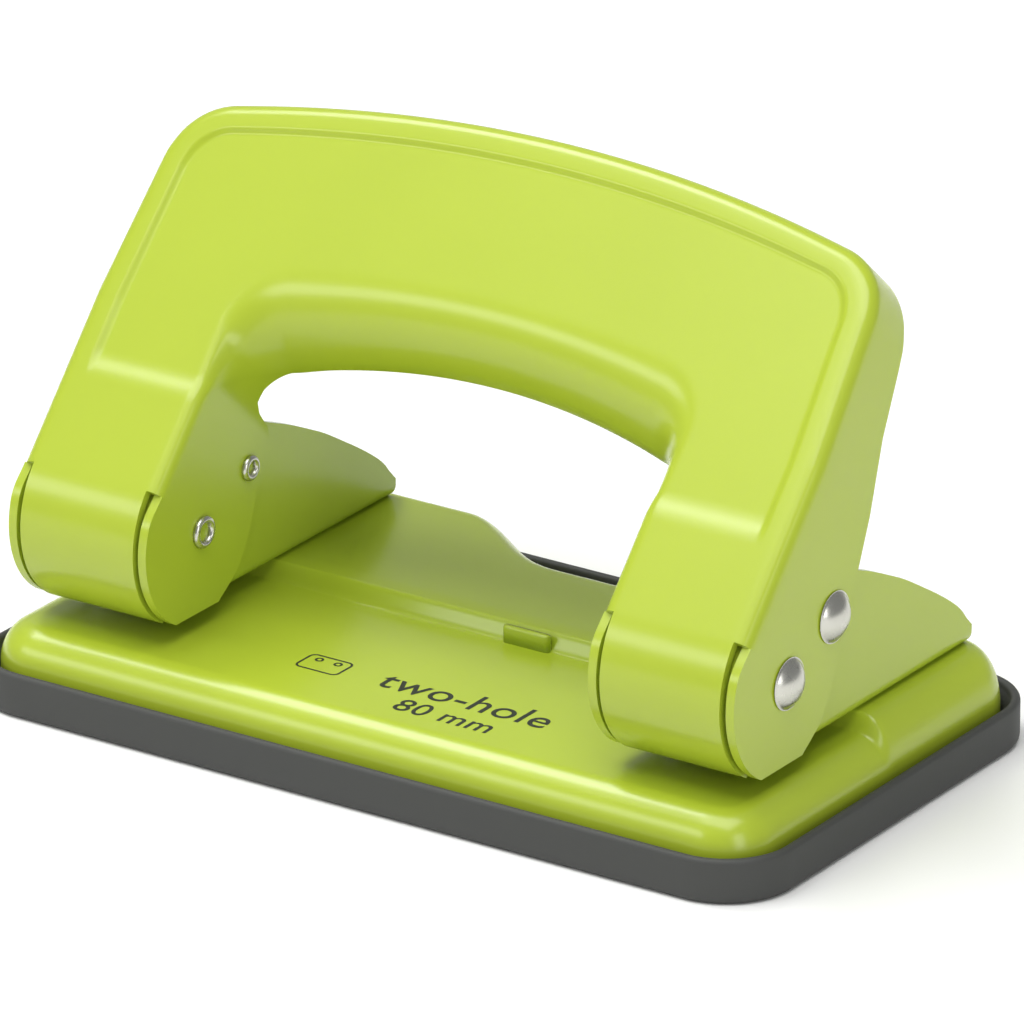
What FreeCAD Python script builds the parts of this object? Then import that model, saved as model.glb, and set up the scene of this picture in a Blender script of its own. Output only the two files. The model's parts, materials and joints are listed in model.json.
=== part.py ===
# Two-hole paper punch: pressed-steel base and arched lever, two punch towers,
# soft chip tray. Millimetres. X runs along the punch, -Y is the paper side,
# Z is up, and the origin is under the middle of the tray.
import FreeCAD
import Part
import math
import os

V = FreeCAD.Vector

# ---- driving dimensions ----
hole_spacing = 80.0        # between the two punched holes
hole_diameter = 6.0
base_depth = 64.0          # tray, outside
base_side = 5.3            # tray past the outside of each tower
lever_reach = 52.5         # up the lever's face from its lower bend to its top
tower_width = 19.4         # outside of a lever leg
sheet = 1.1                # lever steel
bracket_sheet = 1.2
base_sheet = 1.2
bend_radius = 11.4         # outside of the lever's curl round the pivot

# ---- heights above the table ----
tray_height = 5.5
tray_wall = 2.0
tray_floor = 1.4
skirt_bottom = tray_floor + 0.1
deck_low = 9.4             # paper lies here
paper_slot = 2.1           # under each bracket
deck_high = deck_low + paper_slot
curl_gap = 0.7             # between the lever's curl and the deck
pivot_height = deck_low + curl_gap + bend_radius

# ---- places along the depth, and the lever's lean ----
base_length = hole_spacing + tower_width + 2 * base_side
tray_corner = 9.0
tray_clearance = 0.3       # between the base skirt and the tray's wall
notch_depth = 9.0          # finger notch in the base's back edge
notch_top = 22.0           # half its width at the back edge
notch_bottom = 4.0         # half its width at its floor
shoulder_bevel = 2.0       # along the top of the base
pivot_setback = 16.0       # from the tray's front edge
pivot_y = -base_depth / 2 + pivot_setback
drive_radius = 10.55       # pivot pin to drive pin
drive_angle = 27.0
stroke_angle = 24.0
stop_setback = 17.0        # from the pivot to the step the paper is pushed against
stop_y = pivot_y + stop_setback
lean = 48.3                # lever face above the table, degrees
top_corner = 8.0
straight_leg = 22.0        # the leg's outer flange is upright this far, then leans in
leg_lean = 1.2
crown_rise = 3.6           # how much the top arches above its corners
grip_fold = 32.0           # up the face to the fold over the hand opening
grip_edge = 24.4           # up the face to the free edge of the rolled grip
grip_flange = 8.6          # depth of that free edge behind the face
grip_corner = 7.0
grip_crown = 2.4
top_flange = 8.0
plate_end = 61.0           # leg plates: round at the front to this angle, then flat
tongue_end = 238.0

# ---- pins, punches and dies ----
pivot_radius = 2.0
drive_pin_radius = 1.6
rivet_head_radius = 3.1
rivet_head_height = 1.5
rivet_flare = 0.7
rivet_hollow = 7.0
spacer_radius = 3.2
running_gap = 0.05
side_gap = 0.25            # lever flange to bracket wall
punch_radius = hole_diameter / 2
punch_head_height = 1.3
cutting_hollow = 0.54      # how far the cutting end is hollowed between its two points
sleeve_radius = 2.2
bush_radius = punch_radius + 0.9
bush_height = 4.6
die_radius = punch_radius + 3.0
die_body_radius = punch_radius + 1.5
spring_wire = 0.8
spring_gap = 0.3           # between the spring and the guide inside it
spring_radius = bush_radius + spring_gap + spring_wire / 2
spring_turns = 6
punch_head_radius = spring_radius + spring_wire / 2
bracket_margin = 6.6       # from the bracket's point to the tray's back edge
bracket_reach = base_depth - pivot_setback - bracket_margin
bracket_crest = [(0.81, -1.0), (0.64, 3.2), (0.483, 6.3), (0.333, 8.8), (0.217, 10.0)]
rivet_first = 7.0          # from the step back to the first bracket rivet
rivet_last = 7.4           # from the bracket's point forward to the second one
rivet_shank = 1.5
rivet_cap_radius = 2.6
rivet_cap_height = 1.1
rivet_tail_radius = 2.4
rivet_tail_height = 0.8

# how deep the leg flanges reach behind the face, by height up it
outer_depths = [(3.0, 20.8), (14.6, 17.0), (16.1, 16.4), (22.6, 14.1), (30.2, 11.4),
                (38.0, 9.8), (42.0, 8.8)]
inner_depths = [(3.0, 20.8), (12.5, 17.3), (14.6, 16.2), (15.2, 15.0), (15.7, 12.2),
                (16.5, 10.6), (18.0, 9.7), (21.0, 9.0)]

tower_places = {"left": -hole_spacing / 2, "right": hole_spacing / 2}
leg_half = tower_width / 2
bracket_half = leg_half - sheet - side_gap
bracket_front = bend_radius - sheet - 0.4
lean_rad = math.radians(lean)
up_face = V(0, math.cos(lean_rad), math.sin(lean_rad))
into_face = V(0, math.sin(lean_rad), -math.cos(lean_rad))
face_start = V(0, pivot_y, pivot_height) - into_face * bend_radius
drive_y = pivot_y + drive_radius * math.cos(math.radians(drive_angle))
drive_z = pivot_height + drive_radius * math.sin(math.radians(drive_angle))
punch_y = pivot_y + drive_radius * math.cos(math.radians(drive_angle - stroke_angle / 2))
web_top = deck_high + bracket_sheet


def cylinder(radius, length, place, direction):
    return Part.makeCylinder(radius, length, place, direction)


def rounded_block(length, depth, corner, low, high, shift_y=0.0):
    block = Part.makeBox(length, depth, high - low, V(-length / 2, shift_y - depth / 2, low))
    upright = [e for e in block.Edges if abs(e.tangentAt(e.FirstParameter).z) > 0.9]
    return block.makeFillet(corner, upright)


def plate_across(points, start_x, thickness):
    """A plate in the side view: (y, z) points counted from the pivot, as thick as asked."""
    corners = [V(start_x, pivot_y + y, pivot_height + z) for y, z in points]
    outline = Part.makePolygon(corners + [corners[0]])
    return Part.Face(outline).extrude(V(thickness, 0, 0))


def arc_points(radius, first, last, steps):
    turn = (last - first) / steps
    angles = [math.radians(first + turn * i) for i in range(steps + 1)]
    return [(radius * math.cos(a), radius * math.sin(a)) for a in angles]


# ---- base ----
def notched_outline(inset):
    """Plan of the base steel, with the finger notch in the middle of its back edge."""
    half_x = base_length / 2 - tray_wall - tray_clearance - inset
    half_y = base_depth / 2 - tray_wall - tray_clearance - inset
    corner = tray_corner - tray_wall - inset
    wide = notch_top + inset * 0.4
    narrow = notch_bottom + inset * 0.4
    floor_y = half_y - notch_depth
    points = [V(-half_x, -half_y, 0), V(half_x, -half_y, 0), V(half_x, half_y, 0)]
    points += [V(-half_x, half_y, 0)]
    block = Part.Face(Part.makePolygon(points + [points[0]])).extrude(V(0, 0, 30))
    upright = [e for e in block.Edges if abs(e.tangentAt(e.FirstParameter).z) > 0.9]
    block = block.makeFillet(corner, upright)
    right = Part.BezierCurve()
    middle = (wide + narrow) / 2
    right.setPoles([V(wide, half_y, 0), V(middle, half_y, 0),
                    V(middle, floor_y, 0), V(narrow, floor_y, 0)])
    left = Part.BezierCurve()
    left.setPoles([V(-narrow, floor_y, 0), V(-middle, floor_y, 0),
                   V(-middle, half_y, 0), V(-wide, half_y, 0)])
    flat = Part.makeLine(V(narrow, floor_y, 0), V(-narrow, floor_y, 0))
    past = half_y + 5
    back = [V(-wide, half_y, 0), V(-wide, past, 0), V(wide, past, 0), V(wide, half_y, 0)]
    wire = Part.Wire([right.toShape(), flat, left.toShape()] + Part.makePolygon(back).Edges)
    return block.cut(Part.Face(wire).extrude(V(0, 0, 30)))


def deck_form(inset, bottom):
    """The base steel as a solid lump, 'inset' inside its outer faces."""
    outline = notched_outline(inset)
    low = Part.makeBox(base_length, base_depth, deck_low - inset - bottom,
                       V(-base_length / 2, -base_depth / 2, bottom))
    high = Part.makeBox(base_length, base_depth, deck_high - inset - bottom,
                        V(-base_length / 2, stop_y + inset, bottom))
    lump = low.fuse(high).removeSplitter().common(outline)
    rim = []
    for edge in lump.Edges:
        box = edge.BoundBox
        on_top = box.ZLength < 0.01 and box.ZMin > deck_low - inset - 0.01
        at_step = abs(box.YMin - stop_y - inset) < 0.01 and box.YLength < 0.01
        if on_top and not at_step:
            rim.append(edge)
    return lump.makeChamfer(shoulder_bevel - inset * 0.6, rim)


def base_shell():
    shell = deck_form(0.0, skirt_bottom).cut(deck_form(base_sheet, skirt_bottom - 5))
    for x in tower_places.values():
        shell = shell.cut(cylinder(die_body_radius, 20, V(x, punch_y, 0), V(0, 0, 1)))
        for y in rivet_rows():
            shell = shell.cut(cylinder(rivet_shank, 20, V(x, y, 0), V(0, 0, 1)))
    return shell


def chip_tray():
    outside = rounded_block(base_length, base_depth, tray_corner, 0, tray_height)
    outside = outside.makeFillet(0.8, [e for e in outside.Edges if e.BoundBox.ZMax < 0.01])
    hollow = rounded_block(base_length - 2 * tray_wall, base_depth - 2 * tray_wall,
                           tray_corner - tray_wall, tray_floor, tray_height + 1)
    return outside.cut(hollow)


# ---- towers ----
def rivet_rows():
    return [stop_y + rivet_first, pivot_y + bracket_reach - rivet_last]


def bracket_side():
    """Side view of a bracket wall: round at the pivot, running down to a point at the back."""
    front = arc_points(bracket_front, 65, 252, 24)
    bottom = deck_high - pivot_height
    tip = bracket_reach
    back = [(-2.6, bottom), (tip - 0.4, bottom), (tip, bottom + 2.6), (tip - 2.2, bottom + 5.6)]
    crest = [(tip * share, height) for share, height in bracket_crest]
    return [p for p in front if p[1] > bottom + 0.02] + back + crest


def drive_slot(x, length):
    """Curved slot that lets the drive pin swing through a bracket wall."""
    gap = drive_pin_radius + 0.4
    first = drive_angle - stroke_angle - 1.5
    last = drive_angle + 1.0
    outer = arc_points(drive_radius + gap, first, last, 10)
    inner = arc_points(drive_radius - gap, last, first, 10)
    slot = plate_across(outer + inner, x, length)
    for angle in (first, last):
        a = math.radians(angle)
        end = V(x, pivot_y + drive_radius * math.cos(a), pivot_height + drive_radius * math.sin(a))
        slot = slot.fuse(cylinder(gap, length, end, V(1, 0, 0)))
    return slot


def bracket(x):
    wall = plate_across(bracket_side(), x - bracket_half, bracket_half * 2)
    inside = Part.makeBox(bracket_half * 2 - 2 * bracket_sheet, base_depth, 40,
                          V(x - bracket_half + bracket_sheet, -base_depth / 2, web_top))
    part = wall.cut(inside)
    part = part.cut(drive_slot(x - bracket_half - 1, bracket_half * 2 + 2))
    pin = V(x - bracket_half - 1, pivot_y, pivot_height)
    part = part.cut(cylinder(pivot_radius, bracket_half * 2 + 2, pin, V(1, 0, 0)))
    part = part.cut(cylinder(bush_radius, 10, V(x, punch_y, deck_high - 2), V(0, 0, 1)))
    for y in rivet_rows():
        part = part.cut(cylinder(rivet_shank, 10, V(x, y, deck_high - 2), V(0, 0, 1)))
    return part


def domed_head(radius, height, place, direction):
    """Low dome: part of a ball cut off by the plate the rivet sits on."""
    ball = (radius ** 2 + height ** 2) / (2 * height)
    centre = place - direction * (ball - height)
    dome = Part.makeSphere(ball, centre)
    return dome.common(cylinder(radius + 0.5, height + 0.5, place, direction))


def bracket_rivets(x):
    rivets = []
    for y in rivet_rows():
        shank = cylinder(rivet_shank, web_top - deck_high + base_sheet,
                         V(x, y, deck_high - base_sheet), V(0, 0, 1))
        head = domed_head(rivet_cap_radius, rivet_cap_height, V(x, y, web_top), V(0, 0, 1))
        tail = domed_head(rivet_tail_radius, rivet_tail_height,
                          V(x, y, deck_high - base_sheet), V(0, 0, -1))
        rivets.append(shank.fuse([head, tail]).removeSplitter())
    return Part.makeCompound(rivets)


def cross_rivet(x, y, z, radius, outward):
    """Tubular rivet through a tower: domed outside, flared hollow end towards the middle."""
    reach = leg_half + running_gap
    direction = V(outward, 0, 0)
    start = V(x, y, z) - direction * (reach + rivet_flare)
    shank = cylinder(radius, 2 * reach + rivet_flare, start, direction)
    head = domed_head(rivet_head_radius, rivet_head_height,
                      V(x, y, z) + direction * reach, direction)
    flare = Part.makeCone(radius + 0.5, radius + 0.15, rivet_flare, start, direction)
    hollow = cylinder(radius * 0.62, rivet_hollow, start, direction)
    return shank.fuse([head, flare]).cut(hollow).removeSplitter()


def side_sleeve(x, y, z, inner, outer):
    half = bracket_half - bracket_sheet - 0.1
    start = V(x - half, y, z)
    return cylinder(outer, 2 * half, start, V(1, 0, 0)).cut(
        cylinder(inner, 2 * half, start, V(1, 0, 0)))


def punch_top():
    return drive_z - sleeve_radius - 0.1


def punch(x):
    low = deck_high + 0.4
    neck = punch_top() - punch_head_height
    shaft = cylinder(punch_radius, neck - low, V(x, punch_y, low), V(0, 0, 1))
    head = cylinder(punch_head_radius, punch_head_height, V(x, punch_y, neck), V(0, 0, 1))
    round_cut = punch_radius * 2
    hollow = cylinder(round_cut, 2 * round_cut,
                      V(x - round_cut, punch_y, low + cutting_hollow - round_cut), V(1, 0, 0))
    return shaft.fuse(head).removeSplitter().cut(hollow)


def guide_bush(x):
    outside = cylinder(bush_radius, bush_height, V(x, punch_y, deck_high), V(0, 0, 1))
    return outside.cut(cylinder(punch_radius + running_gap, 30, V(x, punch_y, 5), V(0, 0, 1)))


def die(x):
    top = deck_low - base_sheet
    flange = cylinder(die_radius, 1.6, V(x, punch_y, top - 1.6), V(0, 0, 1))
    body = cylinder(die_body_radius, base_sheet, V(x, punch_y, top), V(0, 0, 1))
    hole = cylinder(punch_radius + running_gap, 10, V(x, punch_y, 2), V(0, 0, 1))
    return flange.fuse(body).cut(hole).removeSplitter()


def punch_spring(x):
    low = web_top + spring_wire / 2 + 0.05
    rise = punch_top() - punch_head_height - spring_wire / 2 - 0.05 - low
    coil = Part.makeHelix(rise / spring_turns, rise, spring_radius)
    corners = [V(spring_radius + y, 0, z) for y, z in arc_points(spring_wire / 2, 0, 360, 6)]
    section = Part.makePolygon(corners[:-1] + corners[:1])
    spring = Part.Wire(coil.Edges).makePipeShell([section], True, True)
    spring.translate(V(x, punch_y, low))
    return spring


# ---- lever ----
def face_point(x, up, depth=0.0):
    return face_start + V(x, 0, 0) + up_face * up + into_face * depth


def from_pivot(up, depth):
    """Side-view place, counted from the pivot, of a point up the face and behind it."""
    point = face_point(0, up, depth)
    return (point.y - pivot_y, point.z - pivot_height)


def arched_block(foot, knee, knee_height, shoulder, crown, radius, depth, sweep):
    """Outline of a leg, a leaning leg and an arched top, swept back from a depth."""
    places = [(-foot, -1), (-foot, knee_height), (-knee, shoulder)]
    places += [(-x, v) for x, v in reversed(places)]
    points = [face_point(x, v, depth) for x, v in places]
    arch = Part.Arc(points[2], face_point(0, crown, depth), points[3]).toShape()
    edges = [Part.makeLine(points[i], points[i + 1]) for i in (0, 1)]
    edges += [arch] + [Part.makeLine(points[i], points[i + 1]) for i in (3, 4)]
    edges.append(Part.makeLine(points[5], points[0]))
    block = Part.Face(Part.Wire(edges)).extrude(sweep)
    across = [e for e in block.Edges if abs(e.tangentAt(e.FirstParameter).dot(into_face)) > 0.5]
    across.sort(key=lambda edge: edge.CenterOfMass.dot(up_face))
    return block.makeFillet(radius, across[-2:])


def arch_solid(inset, roll_inset, start_depth, end_depth):
    """The arch between two depths, 'inset' inside its edges; its opening's top rolls back."""
    foot = hole_spacing / 2 + leg_half - inset
    outer = arched_block(foot, foot - leg_lean, straight_leg, lever_reach - crown_rise - inset,
                         lever_reach - inset, top_corner - inset, start_depth,
                         into_face * (end_depth - start_depth))
    opening = hole_spacing / 2 - leg_half + inset
    fall = (grip_fold - grip_edge) / grip_flange
    front = start_depth - 2.0
    top = grip_fold + roll_inset - fall * front
    rolled = arched_block(opening, opening, 0.0, top - grip_crown, top, grip_corner + inset,
                          front, (into_face - up_face * fall) * (grip_flange + 1.0 - front))
    straight = arched_block(opening, opening, 0.0, straight_leg - 3.0, straight_leg - 1.0, 0.5,
                            grip_flange + 0.5, into_face * (end_depth - grip_flange))
    return outer.cut(rolled).cut(straight)


def flange_side(inward):
    """Side view of a leg's flange: round at the front, flat below, widening up to the face."""
    front = arc_points(bend_radius - 0.2, 90 + lean, 180 + plate_end, 24)
    rear = [(3.2, front[-1][1]), (6.4, -7.6), (8.2, -5.2)]
    depths = inner_depths if inward else outer_depths
    edge = [from_pivot(up, depth) for up, depth in depths if up < straight_leg - 4]
    return front + rear + edge + [from_pivot(edge_height(edge), 0.0)]


def edge_height(edge):
    y, z = edge[-1]
    return (V(0, y + pivot_y, z + pivot_height) - face_start).dot(up_face)


def leg_foot(x):
    """Below the face: two flange plates and the tongue that curls under the front."""
    parts = []
    for side in (-1, 1):
        start = x + leg_half - sheet if side > 0 else x - leg_half
        inward = side * math.copysign(1, x) < 0
        parts.append(plate_across(flange_side(inward), start, sheet))
    outer = arc_points(bend_radius, 90 + lean, tongue_end, 16)
    inner = arc_points(bend_radius - sheet, tongue_end, 90 + lean, 16)
    width = tower_width - 2 * sheet - 2 * side_gap
    parts.append(plate_across(outer + inner, x - width / 2, width))
    return parts


def lever():
    deepest = 30.0
    past = lever_reach + 2
    roll_slope = math.hypot(grip_fold - grip_edge, grip_flange) / grip_flange
    keep = [from_pivot(0, -2), from_pivot(0, 21.0)]
    keep += [from_pivot(up, depth) for up, depth in outer_depths if up < lever_reach - 8]
    keep += [from_pivot(lever_reach - 6, top_flange), from_pivot(past, top_flange)]
    keep += [from_pivot(past, -2)]
    behind = [from_pivot(up, depth) for up, depth in inner_depths]
    behind += [from_pivot(grip_fold + 4, grip_flange), from_pivot(grip_fold + 4, deepest)]
    behind += [from_pivot(inner_depths[0][0], deepest)]
    middle = hole_spacing - tower_width + 2 * sheet + 1
    trimmed = arch_solid(0.0, 0.0, 0.0, deepest)
    trimmed = trimmed.common(plate_across(keep, -base_length, base_length * 2))
    trimmed = trimmed.cut(plate_across(behind, -middle / 2, middle))
    part = trimmed.cut(arch_solid(sheet, sheet * roll_slope, sheet, deepest + 1))
    for x in tower_places.values():
        part = part.fuse(leg_foot(x))
    part = part.removeSplitter()
    for x in tower_places.values():
        start = V(x - leg_half - 1, pivot_y, pivot_height)
        part = part.cut(cylinder(pivot_radius + running_gap, tower_width + 2, start, V(1, 0, 0)))
        start = V(x - leg_half - 1, drive_y, drive_z)
        part = part.cut(cylinder(drive_pin_radius, tower_width + 2, start, V(1, 0, 0)))
    return part


def all_parts():
    parts = {"base_shell": base_shell(), "chip_tray": chip_tray(), "lever": lever()}
    for side, x in tower_places.items():
        outward = math.copysign(1, x)
        parts[side + "_bracket"] = bracket(x)
        parts[side + "_bracket_rivets"] = bracket_rivets(x)
        parts[side + "_die"] = die(x)
        parts[side + "_guide_bush"] = guide_bush(x)
        parts[side + "_punch"] = punch(x)
        parts[side + "_spring"] = punch_spring(x)
        parts[side + "_pivot_rivet"] = cross_rivet(x, pivot_y, pivot_height, pivot_radius, outward)
        parts[side + "_drive_rivet"] = cross_rivet(x, drive_y, drive_z, drive_pin_radius, outward)
        parts[side + "_pivot_spacer"] = side_sleeve(x, pivot_y, pivot_height,
                                                    pivot_radius, spacer_radius)
        parts[side + "_drive_sleeve"] = side_sleeve(x, drive_y, drive_z,
                                                    drive_pin_radius, sleeve_radius)
    return parts


os.makedirs("parts", exist_ok=True)
for name, shape in all_parts().items():
    box = shape.BoundBox
    print(name, "solids", len(shape.Solids), "valid", shape.isValid(), "closed",
          all(s.isClosed() for s in shape.Solids), "volume", round(shape.Volume, 1),
          [round(v, 2) for v in (box.XMin, box.XMax, box.YMin, box.YMax, box.ZMin, box.ZMax)])
    shape.exportStep("parts/" + name + ".step")
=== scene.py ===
import json
import math
import bpy
import bmesh
import numpy as np
from mathutils import Matrix, Vector


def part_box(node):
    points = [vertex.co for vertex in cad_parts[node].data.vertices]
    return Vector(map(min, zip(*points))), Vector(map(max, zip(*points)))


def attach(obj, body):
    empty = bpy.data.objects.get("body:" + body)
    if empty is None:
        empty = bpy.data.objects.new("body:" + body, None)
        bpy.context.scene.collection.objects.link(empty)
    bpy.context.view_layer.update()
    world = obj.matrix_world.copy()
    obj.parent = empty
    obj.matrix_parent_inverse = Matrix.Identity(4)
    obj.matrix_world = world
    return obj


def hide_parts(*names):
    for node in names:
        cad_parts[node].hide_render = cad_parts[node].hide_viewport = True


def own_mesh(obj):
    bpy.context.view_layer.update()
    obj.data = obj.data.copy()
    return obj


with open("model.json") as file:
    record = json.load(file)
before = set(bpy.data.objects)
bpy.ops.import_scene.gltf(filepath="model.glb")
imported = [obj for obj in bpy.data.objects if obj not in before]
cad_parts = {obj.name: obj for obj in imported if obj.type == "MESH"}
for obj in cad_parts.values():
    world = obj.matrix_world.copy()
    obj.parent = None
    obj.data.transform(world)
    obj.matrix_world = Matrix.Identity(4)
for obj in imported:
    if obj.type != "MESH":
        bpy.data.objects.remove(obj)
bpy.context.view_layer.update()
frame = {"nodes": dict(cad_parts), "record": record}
print("frame loaded", sorted(frame["nodes"]))

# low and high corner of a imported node, in millimetres
def boxMm(node):
    low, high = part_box(node)
    return np.array(low) * 1000.0, np.array(high) * 1000.0


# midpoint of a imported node: half of its two corners added
def middleOf(node):
    low, high = boxMm(node)
    return (low + high) / 2


# shared places in millimetres: pivots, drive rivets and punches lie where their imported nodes
# lie; the lean of the face, the two deck heights and the stop line are the part's own sizes
pivotLow, pivotHigh = boxMm("right_pivot_spacer")
driveLow, driveHigh = boxMm("right_drive_sleeve")
place = {
    "pivotY": (pivotLow[1] + pivotHigh[1]) / 2,
    "pivotZ": (pivotLow[2] + pivotHigh[2]) / 2,
    "driveY": (driveLow[1] + driveHigh[1]) / 2,
    "driveZ": (driveLow[2] + driveHigh[2]) / 2,
    "punchY": middleOf("right_punch")[1],
    "towerX": middleOf("right_punch")[0],
    "lean": math.radians(48.3),
    "deckLow": 9.4,
    "deckHigh": 11.5,
    "stopY": 1.0,
}
sides = {"left": -place["towerX"], "right": place["towerX"]}


# smooth rise from 0 to 1: 3t2 - 2t3 of the clipped share
def smoothRise(value, start, width):
    share = np.clip((value - start) / width, 0.0, 1.0)
    return share * share * (3.0 - 2.0 * share)


# points at equal shares of a polyline's own length
def alongLine(points, shares):
    points = np.asarray(points, float)
    steps = np.linalg.norm(np.diff(points, axis=0), axis=1)
    travelled = np.concatenate([[0.0], np.cumsum(steps)])
    wanted = np.asarray(shares) * travelled[-1]
    return np.stack([np.interp(wanted, travelled, points[:, i]) for i in range(points.shape[1])], -1)


# circle arc: centre plus radius times (cos, sin) of angles in degrees
def arcPoints(centre, radius, first, last, count):
    angle = np.radians(np.linspace(first, last, count))
    return np.stack([centre[0] + radius * np.cos(angle), centre[1] + radius * np.sin(angle)], -1)


# a ring of plan points lifted to its heights and closed on its first point
def liftedRing(ring, height):
    lifted = np.concatenate([ring, np.broadcast_to(height, len(ring))[:, None]], -1)
    return np.concatenate([lifted, lifted[:1]])


# numbers of the welded points that lie nearest to the wanted places
def nearestPoints(points, wanted):
    return np.linalg.norm(points[None] - wanted[:, None], axis=-1).argmin(1)


# patches are grids of points; points that share a place are welded, quads with two
# corners in one place become triangles
def weldPatches(patches):
    points = np.concatenate([grid.reshape(-1, 3) for grid in patches])
    quads, start = [], 0
    for grid in patches:
        rows, columns = grid.shape[:2]
        index = np.arange(rows * columns).reshape(rows, columns) + start
        quads.append(np.stack([index[:-1, :-1], index[:-1, 1:], index[1:, 1:], index[1:, :-1]],
                              -1).reshape(-1, 4))
        start += rows * columns
    _, first, inverse = np.unique(np.round(points, 3), axis=0, return_index=True, return_inverse=True)
    quads = inverse.reshape(-1)[np.concatenate(quads)]
    repeated = quads == np.roll(quads, -1, axis=1)
    whole = quads[repeated.sum(1) == 0]
    folded = repeated.sum(1) == 1
    corners = quads[folded][~repeated[folded]].reshape(-1, 3)
    return points[first], whole.tolist() + corners.tolist()


# a mesh object from millimetre points and faces, with its faces turned outwards; the face
# nearest to 'hint' must look along 'facing'
def makePiece(name, points, faces, hint=None, facing=None):
    mesh = bpy.data.meshes.new(name)
    mesh.from_pydata((np.asarray(points) * 0.001).tolist(), [], faces)
    mesh.validate()
    work = bmesh.new()
    work.from_mesh(mesh)
    bmesh.ops.recalc_face_normals(work, faces=work.faces)
    if hint is not None:
        target = Vector(np.asarray(hint) * 0.001)
        nearest = min(work.faces, key=lambda face: (face.calc_center_median() - target).length)
        if nearest.normal.dot(Vector(facing)) < 0:
            bmesh.ops.reverse_faces(work, faces=work.faces)
    work.to_mesh(mesh)
    work.free()
    mesh.shade_smooth()
    piece = bpy.data.objects.new(name, mesh)
    bpy.context.scene.collection.objects.link(piece)
    return piece


# one modifier with its properties
def addModifier(piece, name, kind, settings):
    modifier = piece.modifiers.new(name, kind)
    for key, value in settings.items():
        setattr(modifier, key, value)


# sheet thickness grows inwards, upright holes of (x, y, z, radius) are cut through it, and
# every cut edge gets a small round; the cutters leave the scene again, so a piece with holes
# keeps its finished mesh in place of its modifiers
def sheetMetal(piece, thickness, edge, holes=()):
    cutterHalf = 2.5
    cutters = []
    addModifier(piece, "thickness", "SOLIDIFY",
                {"thickness": thickness * 0.001, "offset": -1.0, "use_even_offset": True,
                 "use_quality_normals": True})
    for x, y, z, radius in holes:
        profile = [(-cutterHalf, 0.0), (-cutterHalf, radius), (cutterHalf, radius), (cutterHalf, 0.0)]
        cutters.append(turned("holeCutter", profile, (x, y, z), (0, 0, 1), 64))
        addModifier(piece, "hole", "BOOLEAN",
                    {"operation": "DIFFERENCE", "solver": "EXACT", "object": cutters[-1]})
    addModifier(piece, "edge", "BEVEL",
                {"width": edge * 0.001, "segments": 2, "limit_method": "ANGLE",
                 "angle_limit": math.radians(50), "harden_normals": True, "use_clamp_overlap": True})
    if cutters:
        bpy.context.view_layer.update()
        finished = piece.evaluated_get(bpy.context.evaluated_depsgraph_get())
        mesh = bpy.data.meshes.new_from_object(finished)
        piece.modifiers.clear()
        piece.data = mesh
    for cutter in cutters:
        bpy.data.objects.remove(cutter)


# a profile of (distance, radius) turned about an axis through 'centre'
def turned(name, profile, centre, axis, count=48):
    profile = np.asarray(profile, float)
    angle = np.linspace(0.0, 2.0 * math.pi, count + 1)
    angle[-1] = 0.0
    axis = np.asarray(axis, float)
    across = np.array([0.0, 1.0, 0.0]) if abs(axis[1]) < 0.9 else np.array([1.0, 0.0, 0.0])
    other = np.cross(axis, across)
    ring = np.cos(angle)[None, :, None] * across + np.sin(angle)[None, :, None] * other
    grid = np.asarray(centre) + profile[:, :1, None] * axis + profile[:, 1:, None] * ring
    points, faces = weldPatches([grid])
    return makePiece(name, points, faces)


# sRGB hex to linear light: ((c + 0.055) / 1.055) ** 2.4 above the toe
def linearColour(text):
    values = np.array([int(text[i:i + 2], 16) for i in (1, 3, 5)]) / 255.0
    low = values / 12.92
    high = ((values + 0.055) / 1.055) ** 2.4
    return tuple(np.where(values <= 0.04045, low, high)) + (1.0,)


# adds one node, sets its sockets and properties, and links its inputs
def addNode(tree, kind, settings=None, links=None):
    node = tree.nodes.new(kind)
    for key, value in (settings or {}).items():
        if key in node.inputs:
            node.inputs[key].default_value = value
        else:
            setattr(node, key, value)
    for key, source in (links or {}).items():
        tree.links.new(source, node.inputs[key])
    return node


# an empty node material and its tree
def newMaterial(name):
    material = bpy.data.materials.new(name)
    material.use_nodes = True
    material.node_tree.nodes.clear()
    return material, material.node_tree


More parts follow.
